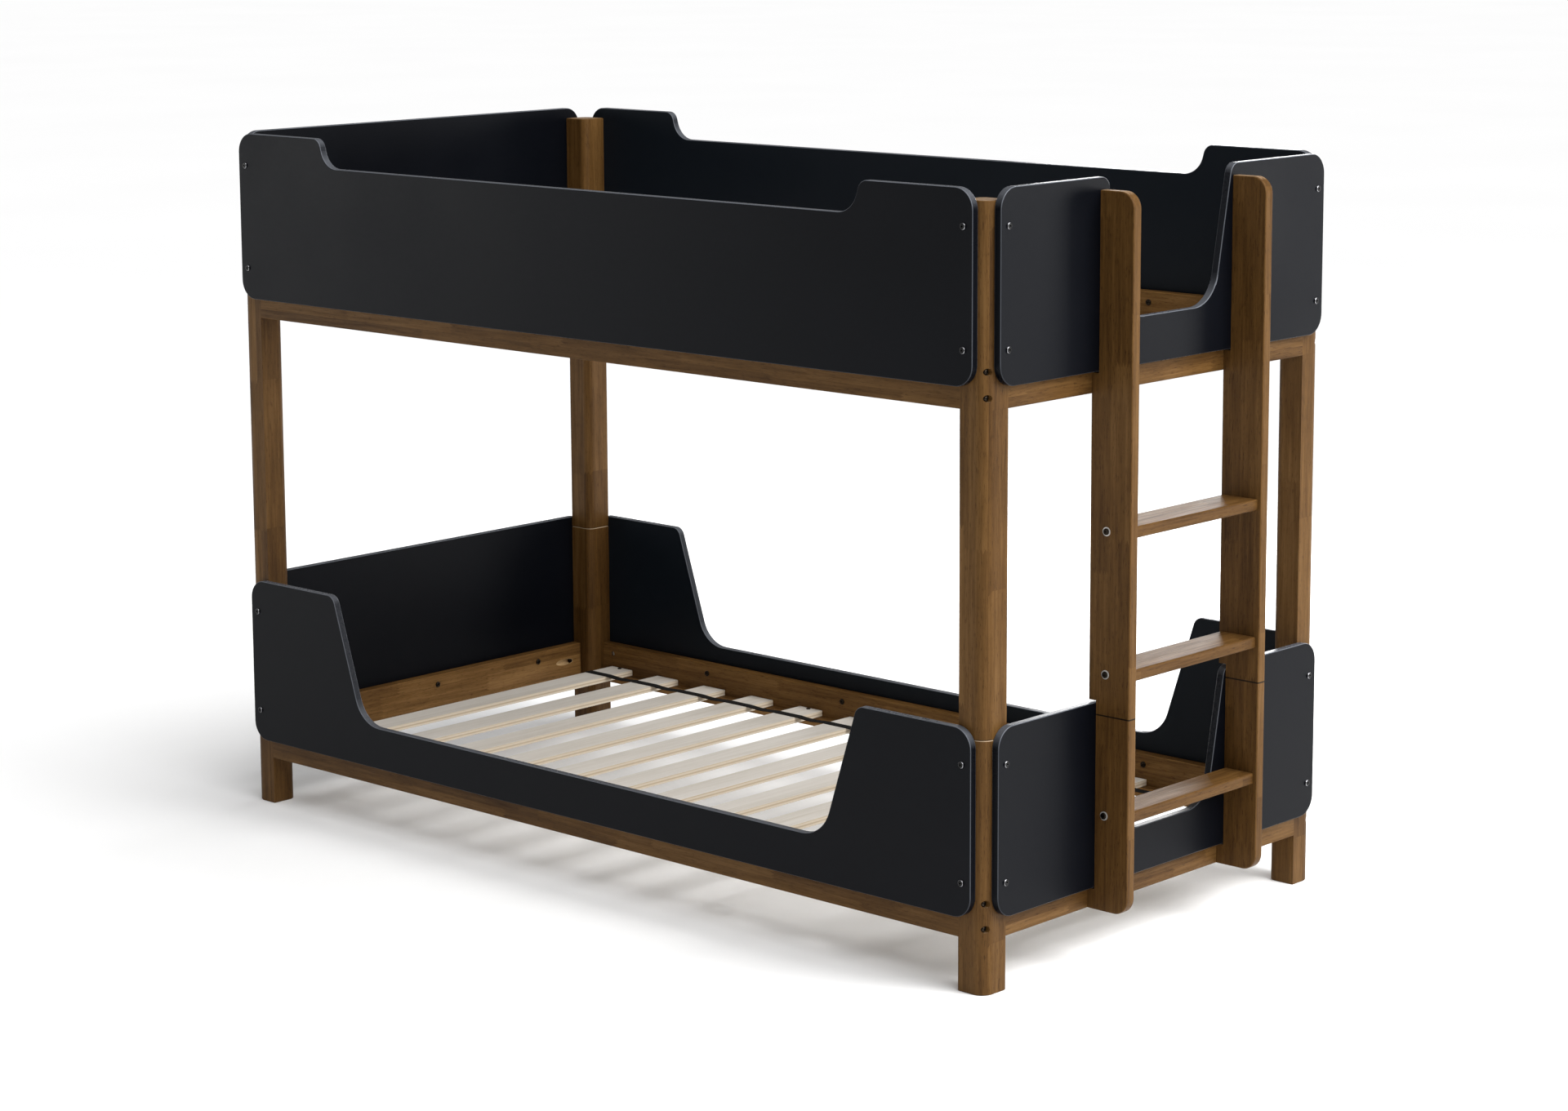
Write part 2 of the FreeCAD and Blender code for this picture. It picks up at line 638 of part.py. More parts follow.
def make_stile(unit, side):
    """An upright on edge against the foot rail, notched round the foot panels."""
    sign = {"front": -1, "back": 1}[side]
    bottom = {"lower": "Sizes.lower_rail_bottom", "upper": "Sizes.seam_height"}[unit]
    top = {"lower": "Sizes.seam_height", "upper": "Sizes.post_height"}[unit]
    body = new_body("%s_stile_%s" % (unit, side))
    height = "(%s) - (%s)" % (top, bottom)
    notch = "Sizes.notch_depth"
    lower_notch = "Sizes.lower_rail_bottom + Sizes.panel_lift - Sizes.notch_gap - (%s)" % bottom
    lower_panel_end = "Sizes.lower_rail_bottom + Sizes.panel_lift + Sizes.panel_height"
    upper_start = "%s + Sizes.notch_gap - (%s)" % (lower_panel_end, bottom)
    upper_notch = "Sizes.upper_rail_bottom + Sizes.panel_lift - Sizes.notch_gap - (%s)" % bottom
    depth = "Sizes.stile_depth"
    profiles = {
        "lower": (
            ("0", "0"),
            (depth, "0"),
            (depth, height),
            (notch, height),
            (notch, lower_notch),
            ("0", lower_notch),
        ),
        "upper": (
            (notch, "0"),
            (depth, "0"),
            (depth, height),
            (notch, height),
            (notch, upper_notch),
            ("0", upper_notch),
            ("0", upper_start),
            (notch, upper_start),
        ),
    }
    pad(body, "XZ_Plane", profiles[unit], "Sizes.board")
    corner_z = {"lower": "0", "upper": height}[unit]
    fillet(
        body,
        "Sizes.stile_corner",
        lambda edge: runs_along(edge, 1)
        and near(edge.CenterOfMass.x, number(depth))
        and near(edge.CenterOfMass.z, number(corner_z)),
    )
    fillet(
        body,
        "Sizes.stile_edge",
        lambda edge: near(edge.BoundBox.YLength, 0)
        and edge.CenterOfMass.x > number("Sizes.stile_depth - Sizes.stile_corner") - 1
        and not runs_along(edge, 0),
    )
    inset = "Sizes.rung_bolt_inset"
    for index in rungs_of(unit):
        z = "%s - (%s)" % (rung_height(index), bottom)
        drill(body, (inset, "0", z), Y_AXIS, CLEAR_HOLE, "Sizes.board")
    pin_x = "(Sizes.stile_depth + Sizes.notch_depth) / 2"
    pin_hole = "Sizes.pin_radius + Sizes.pin_room"
    pin_depth = "Sizes.pin_length / 2"
    start_z = {"lower": "%s - %s" % (height, pin_depth), "upper": "0"}[unit]
    drill(body, (pin_x, "Sizes.board / 2", start_z), Z_AXIS, pin_hole, pin_depth + " + Sizes.pin_chamfer")
    screw_z = "%s + Sizes.stile_screw_lift - (%s)" % (RAIL_BOTTOM[unit], bottom)
    drill(body, ("0", "Sizes.board / 2", screw_z), X_AXIS, SCREW_THREAD, "Sizes.stile_screw_bite + 1")
    near_face = {-1: "-(Sizes.stile_gap / 2 + Sizes.board)", 1: "Sizes.stile_gap / 2"}[sign]
    locate(body, HALF_LENGTH, near_face, bottom)


def make_rung(unit, index):
    """A flat step between the stiles, its front edge a little behind theirs."""
    depth = "Sizes.%s_rung_depth" % unit
    body = new_body("%s_rung_%d" % (unit, index + 1))
    pad(body, "XY_Plane", rectangle(depth, "Sizes.stile_gap"), "Sizes.board")
    fillet(body, "Sizes.rung_edge", lambda edge: runs_along(edge, 1))
    bolt_x = "Sizes.rung_bolt_inset + %s + Sizes.rung_setback - Sizes.stile_depth" % depth
    for start_y, direction in (("0", Y_AXIS), ("Sizes.stile_gap", -Y_AXIS)):
        drill(body, (bolt_x, start_y, "Sizes.board / 2"), direction, THREAD, "Sizes.rung_bolt_bite + 1")
    locate(
        body,
        "%s + Sizes.stile_depth - Sizes.rung_setback - %s" % (HALF_LENGTH, depth),
        "-Sizes.stile_gap / 2",
        "%s - Sizes.board / 2" % rung_height(index),
    )


# ---- fastener groups -------------------------------------------------------------------------


def make_panel_bolts(unit):
    """Bolts through the panels' ends into the posts, heads on the panels' faces."""
    thick = number("Sizes.panel_thick")
    bolt = headed_bolt(
        number("Sizes.bolt_radius"),
        number("Sizes.bolt_head_radius"),
        number("Sizes.bolt_head_height"),
        thick + number("Sizes.panel_bolt_bite"),
    )
    spots = []
    for side, (_, half, _) in SIDES.items():
        reach = number("%s - Sizes.panel_bolt_inset" % half)
        for along in (-reach, reach):
            for height in panel_bolt_heights(unit):
                spots.append((on_side(side, along, -thick, number(height)), outwards(side)))
    group("%s_panel_bolts" % unit, bolt, spots)


def make_corner_bolts(unit):
    """Bolts along X through the posts into barrel nuts in the side rails."""
    depth = number("Sizes.counterbore_depth")
    grip = number("Sizes.post_side + Sizes.barrel_inset + Sizes.barrel_radius + 2") - depth
    bolt = headed_bolt(
        number("Sizes.bolt_radius"),
        number("Sizes.counterbore_radius") - 1.3,
        number("Sizes.bolt_head_height") * 1.6,
        grip,
    )
    nut_x = number("%s - Sizes.post_side - Sizes.barrel_inset" % HALF_LENGTH)
    head_x = number(HALF_LENGTH) - depth
    y = number("%s - Sizes.board / 2" % HALF_WIDTH)
    bolts = []
    nuts = []
    for sign_x, sign_y in CORNERS.values():
        for height in corner_bolt_heights(unit):
            z = number(height)
            bolts.append(((sign_x * head_x, sign_y * y, z), (sign_x, 0, 0)))
            nuts.append(((sign_x * nut_x, sign_y * y, z), (0, -sign_y, 0)))
    group("%s_corner_bolts" % unit, bolt, bolts)
    group("%s_barrel_nuts" % unit, barrel_nut(), nuts)


def make_rail_bolts(unit):
    """Bolts from inside, through the rails into the backs of the panels."""
    board = number("Sizes.board")
    bolt = headed_bolt(
        number("Sizes.bolt_radius"),
        number("Sizes.bolt_head_radius"),
        number("Sizes.bolt_head_height"),
        board + number("Sizes.rail_bolt_bite"),
    )
    height = number("%s + Sizes.rail_bolt_lift" % RAIL_BOTTOM[unit])
    spots = []
    for side in SIDES:
        pitch, steps = rail_bolt_steps(side)
        x_out, y_out, _ = outwards(side)
        for step in steps:
            spots.append((on_side(side, step * number(pitch), board, height), (-x_out, -y_out, 0)))
    group("%s_rail_bolts" % unit, bolt, spots)


def make_pocket_screws(unit):
    """Screws in the end rails' slanted pockets, driven into the posts."""
    screw = headed_bolt(
        number("Sizes.screw_radius"),
        number("Sizes.pocket_screw_head_radius"),
        number("Sizes.screw_head_height"),
        number("Sizes.pocket_screw_length") - 1,
    )
    tilt = math.radians(number("Sizes.pocket_tilt"))
    height = number("%s + Sizes.pocket_lift" % RAIL_BOTTOM[unit])
    floor_x = number("%s - Sizes.pocket_depth" % HALF_LENGTH)
    floor_y = number("%s - Sizes.post_side - Sizes.pocket_floor" % HALF_WIDTH)
    spots = []
    for sign_x, sign_y in CORNERS.values():
        back = (-sign_x * math.sin(tilt), -sign_y * math.cos(tilt), 0)
        spots.append(((sign_x * floor_x, sign_y * floor_y, height), back))
    group("%s_pocket_screws" % unit, screw, spots)


def make_stile_screws(unit):
    """Screws from inside, through the foot rail into the stiles' back edges."""
    board = number("Sizes.board")
    screw = headed_bolt(
        number("Sizes.screw_radius"),
        number("Sizes.screw_head_radius"),
        number("Sizes.screw_head_height"),
        board + number("Sizes.stile_screw_bite"),
    )
    x = number(HALF_LENGTH) - board
    y = number("(Sizes.stile_gap + Sizes.board) / 2")
    z = number("%s + Sizes.stile_screw_lift" % RAIL_BOTTOM[unit])
    group("%s_stile_screws" % unit, screw, [((x, sign * y, z), (-1, 0, 0)) for sign in (-1, 1)])


def make_slat_screws(unit):
    """Dark screws through every fourth slat into the cleats."""
    thick = number("Sizes.slat_thick")
    screw = headed_bolt(
        number("Sizes.screw_radius"),
        number("Sizes.screw_head_radius"),
        number("Sizes.screw_head_height"),
        thick + number("Sizes.slat_screw_bite") - 1,
    )
    y = number("%s - Sizes.board - Sizes.cleat_width / 2" % HALF_WIDTH)
    z = number(slat_bottom(unit)) + thick
    spots = []
    for x in slat_screw_places():
        for sign in (-1, 1):
            spots.append(((number(x), sign * y, z), (0, 0, 1)))
    group("%s_slat_screws" % unit, screw, spots)


def make_rung_bolts(unit):
    """A bolt and washer through each stile into each rung's end."""
    washer_thick = number("Sizes.washer_thick")
    bolt = headed_bolt(
        number("Sizes.bolt_radius"),
        number("Sizes.bolt_head_radius"),
        number("Sizes.bolt_head_height"),
        number("Sizes.board + Sizes.rung_bolt_bite") + washer_thick,
    )
    x = number("%s + Sizes.rung_bolt_inset" % HALF_LENGTH)
    y = number("Sizes.stile_gap / 2 + Sizes.board")
    bolts = []
    washers = []
    for index in rungs_of(unit):
        z = number(rung_height(index))
        for sign in (-1, 1):
            bolts.append(((x, sign * (y + washer_thick), z), (0, sign, 0)))
            washers.append(((x, sign * y, z), (0, sign, 0)))
    group("%s_rung_bolts" % unit, bolt, bolts)
    group("%s_rung_washers" % unit, washer(), washers)


def make_pins():
    """Pins in the tops of the lower posts and stiles, which the upper unit drops onto."""
    seam = number("Sizes.seam_height")
    x = number("%s - Sizes.post_side / 2" % HALF_LENGTH)
    y = number("%s - Sizes.post_side / 2" % HALF_WIDTH)
    spots = [((sign_x * x, sign_y * y, seam), (0, 0, 1)) for sign_x, sign_y in CORNERS.values()]
    x = number("%s + (Sizes.stile_depth + Sizes.notch_depth) / 2" % HALF_LENGTH)
    y = number("(Sizes.stile_gap + Sizes.board) / 2")
    spots += [((x, sign * y, seam), (0, 0, 1)) for sign in (-1, 1)]
    group("stacking_pins", pin(), spots)


# ---- the whole bed ---------------------------------------------------------------------------

for unit in UNITS:
    for corner in CORNERS:
        make_post(unit, corner)
    for side in SIDES:
        make_rail(unit, side)
        make_panel(unit, side)
    for side in ("front", "back"):
        make_cleat(unit, side)
        make_strap(unit, side)
        make_stile(unit, side)
    make_slats(unit)
    for index in rungs_of(unit):
        make_rung(unit, index)
    make_panel_bolts(unit)
    make_corner_bolts(unit)
    make_rail_bolts(unit)
    make_pocket_screws(unit)
    make_stile_screws(unit)
    make_slat_screws(unit)
    make_rung_bolts(unit)
make_pins()

doc.recompute()
for item in doc.Objects:
    assert "Invalid" not in item.State and "Error" not in item.State, item.Label
os.makedirs("parts", exist_ok=True)
for item in sub_parts:
    shape = item.Shape
    assert not shape.isNull() and shape.isValid() and shape.Solids, item.Label
    shape.exportStep("parts/%s.step" % item.Label)
    box = shape.BoundBox
    print("%-26s solids %2d  volume %.0f  %s" % (item.Label, len(shape.Solids), shape.Volume, box))
print(len(sub_parts), "sub-parts")
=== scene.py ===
import json
import math

import bpy
from mathutils import Matrix, Vector


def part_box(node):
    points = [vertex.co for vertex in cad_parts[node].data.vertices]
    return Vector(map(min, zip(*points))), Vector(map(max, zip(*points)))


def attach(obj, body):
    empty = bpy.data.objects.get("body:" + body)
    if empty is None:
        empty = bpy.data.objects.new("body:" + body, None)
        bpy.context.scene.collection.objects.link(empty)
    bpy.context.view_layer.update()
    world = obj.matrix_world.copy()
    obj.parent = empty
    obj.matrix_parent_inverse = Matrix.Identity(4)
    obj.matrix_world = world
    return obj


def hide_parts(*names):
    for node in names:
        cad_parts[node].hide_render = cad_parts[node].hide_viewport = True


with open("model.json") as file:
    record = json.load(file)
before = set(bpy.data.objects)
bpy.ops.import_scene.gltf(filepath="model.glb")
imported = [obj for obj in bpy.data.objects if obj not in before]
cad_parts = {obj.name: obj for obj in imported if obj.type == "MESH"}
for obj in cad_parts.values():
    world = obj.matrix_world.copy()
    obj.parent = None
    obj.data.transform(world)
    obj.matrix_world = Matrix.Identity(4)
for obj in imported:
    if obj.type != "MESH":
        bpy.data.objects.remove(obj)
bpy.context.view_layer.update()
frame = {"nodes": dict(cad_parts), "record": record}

# A low bunk bed: walnut-stained posts, rails and ladder, satin black panels, pale slats and
# black webbing. The CAD solids have their true shapes, so they stay and get their materials
# here. Only the webbing straps are modelled again, as woven bands that dip between the slats.

NODES = frame["nodes"]
UNITS = ("lower", "upper")
SLOTS = {part["node"]: part["material_slot"] for part in frame["record"]["subparts"]}

# The middle of the four posts, and the half sizes out to their outer faces.
POST_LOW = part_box("lower_post_head_front")[0]
POST_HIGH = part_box("lower_post_foot_back")[1]
MIDDLE_X = (POST_LOW[0] + POST_HIGH[0]) / 2
HALF_LENGTH = (POST_HIGH[0] - POST_LOW[0]) / 2
HALF_WIDTH = (POST_HIGH[1] - POST_LOW[1]) / 2
POST_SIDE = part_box("lower_post_head_front")[1][0] - POST_LOW[0]


# ---- node helpers ------------------------------------------------------------------------

AXES = {"X": 0, "Y": 1, "Z": 2}


class Shader:
    """A Principled material, and short ways to add and join its nodes."""

    def __init__(self, name, **sockets):
        self.material = bpy.data.materials.new(name)
        self.material.use_nodes = True
        self.tree = self.material.node_tree
        self.surface = self.tree.nodes["Principled BSDF"]
        for socket, value in sockets.items():
            self.surface.inputs[socket.replace("_", " ")].default_value = value

    def node(self, kind, inputs=(), output=0, **settings):
        """Add a node, set or join its inputs in order or by name, and give back one output."""
        made = self.tree.nodes.new("ShaderNode" + kind)
        for setting, value in settings.items():
            setattr(made, setting, value)
        pairs = inputs.items() if isinstance(inputs, dict) else enumerate(inputs)
        for socket, value in pairs:
            if isinstance(value, bpy.types.NodeSocket):
                self.tree.links.new(value, made.inputs[socket])
            elif value is not None:
                made.inputs[socket].default_value = value
        return made.outputs[output]

    def math(self, operation, a, b=0.0, c=0.0, clamp=False):
        return self.node("Math", (a, b, c), operation=operation, use_clamp=clamp)

    def vector(self, operation, a, b, output=0):
        return self.node("VectorMath", (a, b), output, operation=operation)

    def combine(self, x, y, z):
        return self.node("CombineXYZ", (x, y, z))

    def split(self, vector):
        made = self.tree.nodes.new("ShaderNodeSeparateXYZ")
        self.tree.links.new(vector, made.inputs[0])
        return made.outputs[0], made.outputs[1], made.outputs[2]

    def noise(self, vector, scale, detail=3.0, roughness=0.5, distortion=0.0):
        settings = {
            "Vector": vector,
            "Scale": scale,
            "Detail": detail,
            "Roughness": roughness,
            "Distortion": distortion,
        }
        return self.node("TexNoise", settings)

    def remap(self, value, low, high, to_low=0.0, to_high=1.0):
        return self.node("MapRange", (value, low, high, to_low, to_high))

    def mix(self, factor, a, b, blend="MIX"):
        made = self.tree.nodes.new("ShaderNodeMix")
        made.data_type = "RGBA"
        made.blend_type = blend
        for socket, value in ((0, factor), (6, a), (7, b)):
            if isinstance(value, bpy.types.NodeSocket):
                self.tree.links.new(value, made.inputs[socket])
            else:
                made.inputs[socket].default_value = value
        return made.outputs[2]

    def ramp(self, factor, stops):
        made = self.tree.nodes.new("ShaderNodeValToRGB")
        self.tree.links.new(factor, made.inputs[0])
        elements = made.color_ramp.elements
        while len(elements) < len(stops):
            elements.new(0.5)
        for element, (position, colour) in zip(elements, stops):
            element.position = position
            element.color = colour
        return made.outputs[0]

    def coordinates(self):
        """Position and normal on the piece, which move with it."""
        made = self.tree.nodes.new("ShaderNodeTexCoord")
        return made.outputs["Object"], made.outputs["Normal"]

    def finish(self, colour, roughness=None, height=None, depth=0.0005, strength=0.5):
        self.tree.links.new(colour, self.surface.inputs["Base Color"])
        if roughness is not None:
            self.tree.links.new(roughness, self.surface.inputs["Roughness"])
        if height is not None:
            bump = self.node("Bump", {"Height": height, "Distance": depth, "Strength": strength})
            self.tree.links.new(bump, self.surface.inputs["Normal"])
        return self.material


def rgb(red, green, blue):
    return red, green, blue, 1.0


# ---- walnut ------------------------------------------------------------------------------

WALNUT_DARK = rgb(0.043, 0.0190, 0.0048)
WALNUT_MID = rgb(0.097, 0.0470, 0.0125)
WALNUT_LIGHT = rgb(0.160, 0.0840, 0.0270)
WALNUT_END = rgb(0.30, 0.20, 0.12)
# Painted light: how much lighter a rail is painted on its face towards the mattress, by the axis
# that face points along.
WALNUT_INNER_LIGHTING = {"X": rgb(1.45, 1.50, 1.65), "Y": rgb(1.90, 1.98, 2.20)}
# Painted shade along the seam between the units, and a painted highlight where its chamfer faces
# upward.
SEAM_SHADE = rgb(0.006, 0.004, 0.002)
SEAM_HIGHLIGHT = rgb(0.42, 0.31, 0.20)
SAWN_WOOD = rgb(0.33, 0.21, 0.10)
BARE_WOOD = rgb(0.44, 0.30, 0.15)

# Staves, in metres. The phase keeps their long joints off the edges of the boards, and the wander
# keeps those joints from being dead straight.
STAVE_LENGTH = 0.31
STAVE_WIDTH = 0.044
STAVE_PHASE = 40.35
STAVE_WANDER = 0.05
STAVE_TONE = 0.15
FINGER_PITCH = 0.0062
FINGER_DEPTH = 0.009
SIDE_JOINT = 0.00045
SIDE_JOINT_TONE = 0.42
END_JOINT = 0.0007
END_JOINT_TONE = 0.30

# Noise scales across the grain, and how far the grain is drawn out along a board.
STREAK_SCALE = 190.0
BAND_SCALE = 46.0
CLOUD_SCALE = 5.5
FLECK_SCALE = 720.0
PORE_SCALE = 900.0
RING_SCALE = 42.0
GRAIN_STRETCH = 0.045
FLECK_STRETCH = 0.09

# The slanted screw pockets in the end rails, and half the height of the painted shade and highlight
# lines at the seam.
POCKET_TILT = math.radians(15)
POCKET_RADIUS = 0.0069
POCKET_FLOOR = 0.027
POCKET_DEPTH = 0.015
POCKET_LIFT = 0.051
SEAM_HALF = 0.0016


def pocket_mask(shader, position):
    """1 on the walls of the slanted screw pockets in the end rails, and 0 elsewhere."""
    x, y, z = shader.split(position)
    from_middle = shader.math("ABSOLUTE", shader.math("SUBTRACT", x, MIDDLE_X))
    from_axis = shader.math("ABSOLUTE", y)
    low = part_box("lower_rail_head")[0][2]
    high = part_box("upper_rail_head")[0][2]
    is_upper = shader.math("GREATER_THAN", z, (low + high) / 2)
    above_rail = shader.math("SUBTRACT", z, shader.math("MULTIPLY_ADD", is_upper, high - low, low))
    corner = shader.combine(from_middle, from_axis, above_rail)
    floor = (
        HALF_LENGTH - POCKET_DEPTH,
        HALF_WIDTH - POST_SIDE - POCKET_FLOOR,
        POCKET_LIFT,
    )
    along = (-math.sin(POCKET_TILT), -math.cos(POCKET_TILT), 0.0)
    reach = shader.vector("SUBTRACT", corner, floor)
    ahead = shader.vector("DOT_PRODUCT", reach, along, output=1)
    across = shader.vector("CROSS_PRODUCT", reach, along)
    distance = shader.vector("LENGTH", across, (0, 0, 0), output=1)
    near = shader.math("LESS_THAN", distance, POCKET_RADIUS)
    outside_floor = shader.math("GREATER_THAN", ahead, -0.001)
    return shader.math("MULTIPLY", near, outside_floor)


def seam_mask(shader, position):
    """1 beside the plane where the upper unit stands on the lower one, and 0 elsewhere."""
    from_seam = []
    for piece in ("lower_post_head_front", "lower_stile_front"):
        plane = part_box(piece)[1][2]
        height = shader.split(position)[2]
        from_seam.append(shader.math("ABSOLUTE", shader.math("SUBTRACT", height, plane)))
    nearest = shader.math("MINIMUM", *from_seam)
    return shader.remap(nearest, SEAM_HALF * 0.6, SEAM_HALF, 1.0, 0.0)


def inner_mask(shader, position, normal, axis):
    """1 on a board's face towards the mattress, and 0 elsewhere."""
    middle = (MIDDLE_X, 0.0, 0.0)
    across = shader.split(shader.vector("SUBTRACT", position, middle))[AXES[axis]]
    facing = shader.math("MULTIPLY", shader.math("SIGN", across), shader.split(normal)[AXES[axis]])
    return shader.remap(facing, -0.55, -0.9)


def staves(shader, u, v):
    """Rows of staves side by side along v, each broken into lengths along u by finger joints.

    Gives two running counts, whose whole parts number the row and the stave in it, and a random
    value for the row and for the stave.
    """
    wander = shader.noise(shader.combine(u, 0.0, 0.0), 2.0, 1.0)
    rows = shader.math("MULTIPLY_ADD", v, 1 / STAVE_WIDTH, STAVE_PHASE)
    rows = shader.math("MULTIPLY_ADD", wander, STAVE_WANDER, rows)
    row_id = shader.math("FLOOR", rows)
    row_hash = shader.node("TexWhiteNoise", {"W": row_id}, noise_dimensions="1D")
    finger = shader.math("PINGPONG", v, FINGER_PITCH / 2)
    fingers = shader.math("MULTIPLY", finger, FINGER_DEPTH / STAVE_LENGTH / (FINGER_PITCH / 2))
    lengths = shader.math("MULTIPLY_ADD", u, 1 / STAVE_LENGTH, fingers)
    lengths = shader.math("MULTIPLY_ADD", row_hash, 5.0, lengths)
    stave = shader.combine(row_id, shader.math("FLOOR", lengths), 0.0)
    tone = shader.node("TexWhiteNoise", {"Vector": stave}, noise_dimensions="2D")
    return rows, lengths, row_hash, tone


def joint_lines(shader, rows, lengths):
    """How dark the thin line is where a stave meets the one beside it, or the next in its row."""
    to_side = shader.math("PINGPONG", rows, 0.5)
    to_end = shader.math("PINGPONG", lengths, 0.5)
    side = shader.remap(to_side, 0.0, SIDE_JOINT / STAVE_WIDTH, SIDE_JOINT_TONE, 0.0)
    end = shader.remap(to_end, 0.0, END_JOINT / STAVE_LENGTH, END_JOINT_TONE, 0.0)
    return shader.math("MAXIMUM", side, end)


def end_grain(shader, position, v, w):
    """Rings and open pores on the end faces, ramped up to a tone lighter than the long faces."""
    rings = shader.node(
        "TexWave",
        {
            "Vector": shader.combine(v, w, 0.0),
            "Scale": RING_SCALE,
            "Distortion": 5.0,
            "Detail": 2.0,
            "Detail Scale": 1.6,
        },
        output=1,
        wave_type="RINGS",
    )
    pores = shader.noise(position, PORE_SCALE, 2.0)
    value = shader.math("MULTIPLY_ADD", rings, 0.35, shader.math("MULTIPLY", pores, 0.65))
    return shader.ramp(value, ((0.25, WALNUT_DARK), (0.62, WALNUT_END)))


def walnut(name, grain, row, pockets=False):
    """Walnut-stained wood made of finger-jointed staves, its grain along one axis.

    Row is the axis across the board's broad face, along which the staves lie side by side.
    """
    shader = Shader(name, Roughness=0.48, Specular_IOR_Level=0.1)
    position, normal = shader.coordinates()
    parts = shader.split(position)
    normals = shader.split(normal)
    other = ({"X", "Y", "Z"} - {grain, row}).pop()
    u, v, w = parts[AXES[grain]], parts[AXES[row]], parts[AXES[other]]
    rows, lengths, row_hash, tone = staves(shader, u, v)

    # Every stave has its own stretch of long streaks, broader bands and short dark flecks.
    shifted = shader.combine(
        shader.math("MULTIPLY_ADD", tone, 17.0, v),
        shader.math("MULTIPLY_ADD", row_hash, 11.0, w),
        shader.math("MULTIPLY", u, GRAIN_STRETCH),
    )
    streaks = shader.noise(shifted, STREAK_SCALE, 4.0, 0.62, 0.25)
    bands = shader.noise(shifted, BAND_SCALE, 3.0, 0.55, 0.6)
    clouds = shader.noise(position, CLOUD_SCALE, 3.0, 0.5)
    drawn_out = shader.combine(v, w, shader.math("MULTIPLY", u, FLECK_STRETCH))
    flecks = shader.noise(drawn_out, FLECK_SCALE, 2.0, 0.6)
    flecks = shader.remap(flecks, 0.58, 0.70)

    value = shader.math("MULTIPLY", streaks, 0.46)
    for part, share in ((bands, 0.34), (clouds, 0.20), (tone, STAVE_TONE)):
        value = shader.math("MULTIPLY_ADD", part, share, value)
    value = shader.math("SUBTRACT", value, STAVE_TONE / 2)
    value = shader.math("MULTIPLY_ADD", flecks, -0.20, value)
    colour = shader.ramp(
        value, ((0.28, WALNUT_DARK), (0.50, WALNUT_MID), (0.72, WALNUT_LIGHT))
    )
    colour = shader.mix(joint_lines(shader, rows, lengths), colour, WALNUT_DARK)
    is_end = shader.remap(shader.math("ABSOLUTE", normals[AXES[grain]]), 0.80, 0.97)
    colour = shader.mix(is_end, colour, end_grain(shader, position, v, w))

    if grain == "Z":
        # Painted shade along the seam between the units, turning to a painted highlight where the
        # chamfer faces upward.
        seam = seam_mask(shader, position)
        up = shader.remap(normals[2], 0.2, 0.5)
        colour = shader.mix(seam, colour, shader.mix(up, SEAM_SHADE, SEAM_HIGHLIGHT))
    elif row == "Z":
        # Painted light: a rail's face towards the mattress is painted lighter than its other faces.
        inner = inner_mask(shader, position, normal, other)
        colour = shader.mix(inner, colour, WALNUT_INNER_LIGHTING[other], "MULTIPLY")

    roughness = shader.remap(streaks, 0.3, 0.7, 0.56, 0.42)
    height = shader.math("MULTIPLY_ADD", flecks, -0.8, shader.math("MULTIPLY", streaks, 0.5))
    if pockets:
        bare = pocket_mask(shader, position)
        sawn = shader.ramp(streaks, ((0.3, SAWN_WOOD), (0.7, BARE_WOOD)))
        colour = shader.mix(bare, colour, sawn)
        roughness = shader.math("MAXIMUM", roughness, shader.math("MULTIPLY", bare, 0.75))
    return shader.finish(colour, roughness, height, 0.0002, 0.35)


# ---- panel lacquer, slats, webbing and metal ---------------------------------------------

PAINT_DARK = rgb(0.0014, 0.0019, 0.0033)
PAINT_LIGHT = rgb(0.0024, 0.0030, 0.0048)
# Painted highlights on upward rims and rounded arrises, and painted light on the long panels' faces
# towards the mattress.
PAINT_RIM_HIGHLIGHT = rgb(0.070, 0.074, 0.084)
PAINT_ARRIS_HIGHLIGHT = rgb(0.135, 0.145, 0.165)
PAINT_INNER_LIGHTING = rgb(0.0075, 0.0105, 0.0150)
PAINT_SPECK = rgb(0.05, 0.05, 0.055)


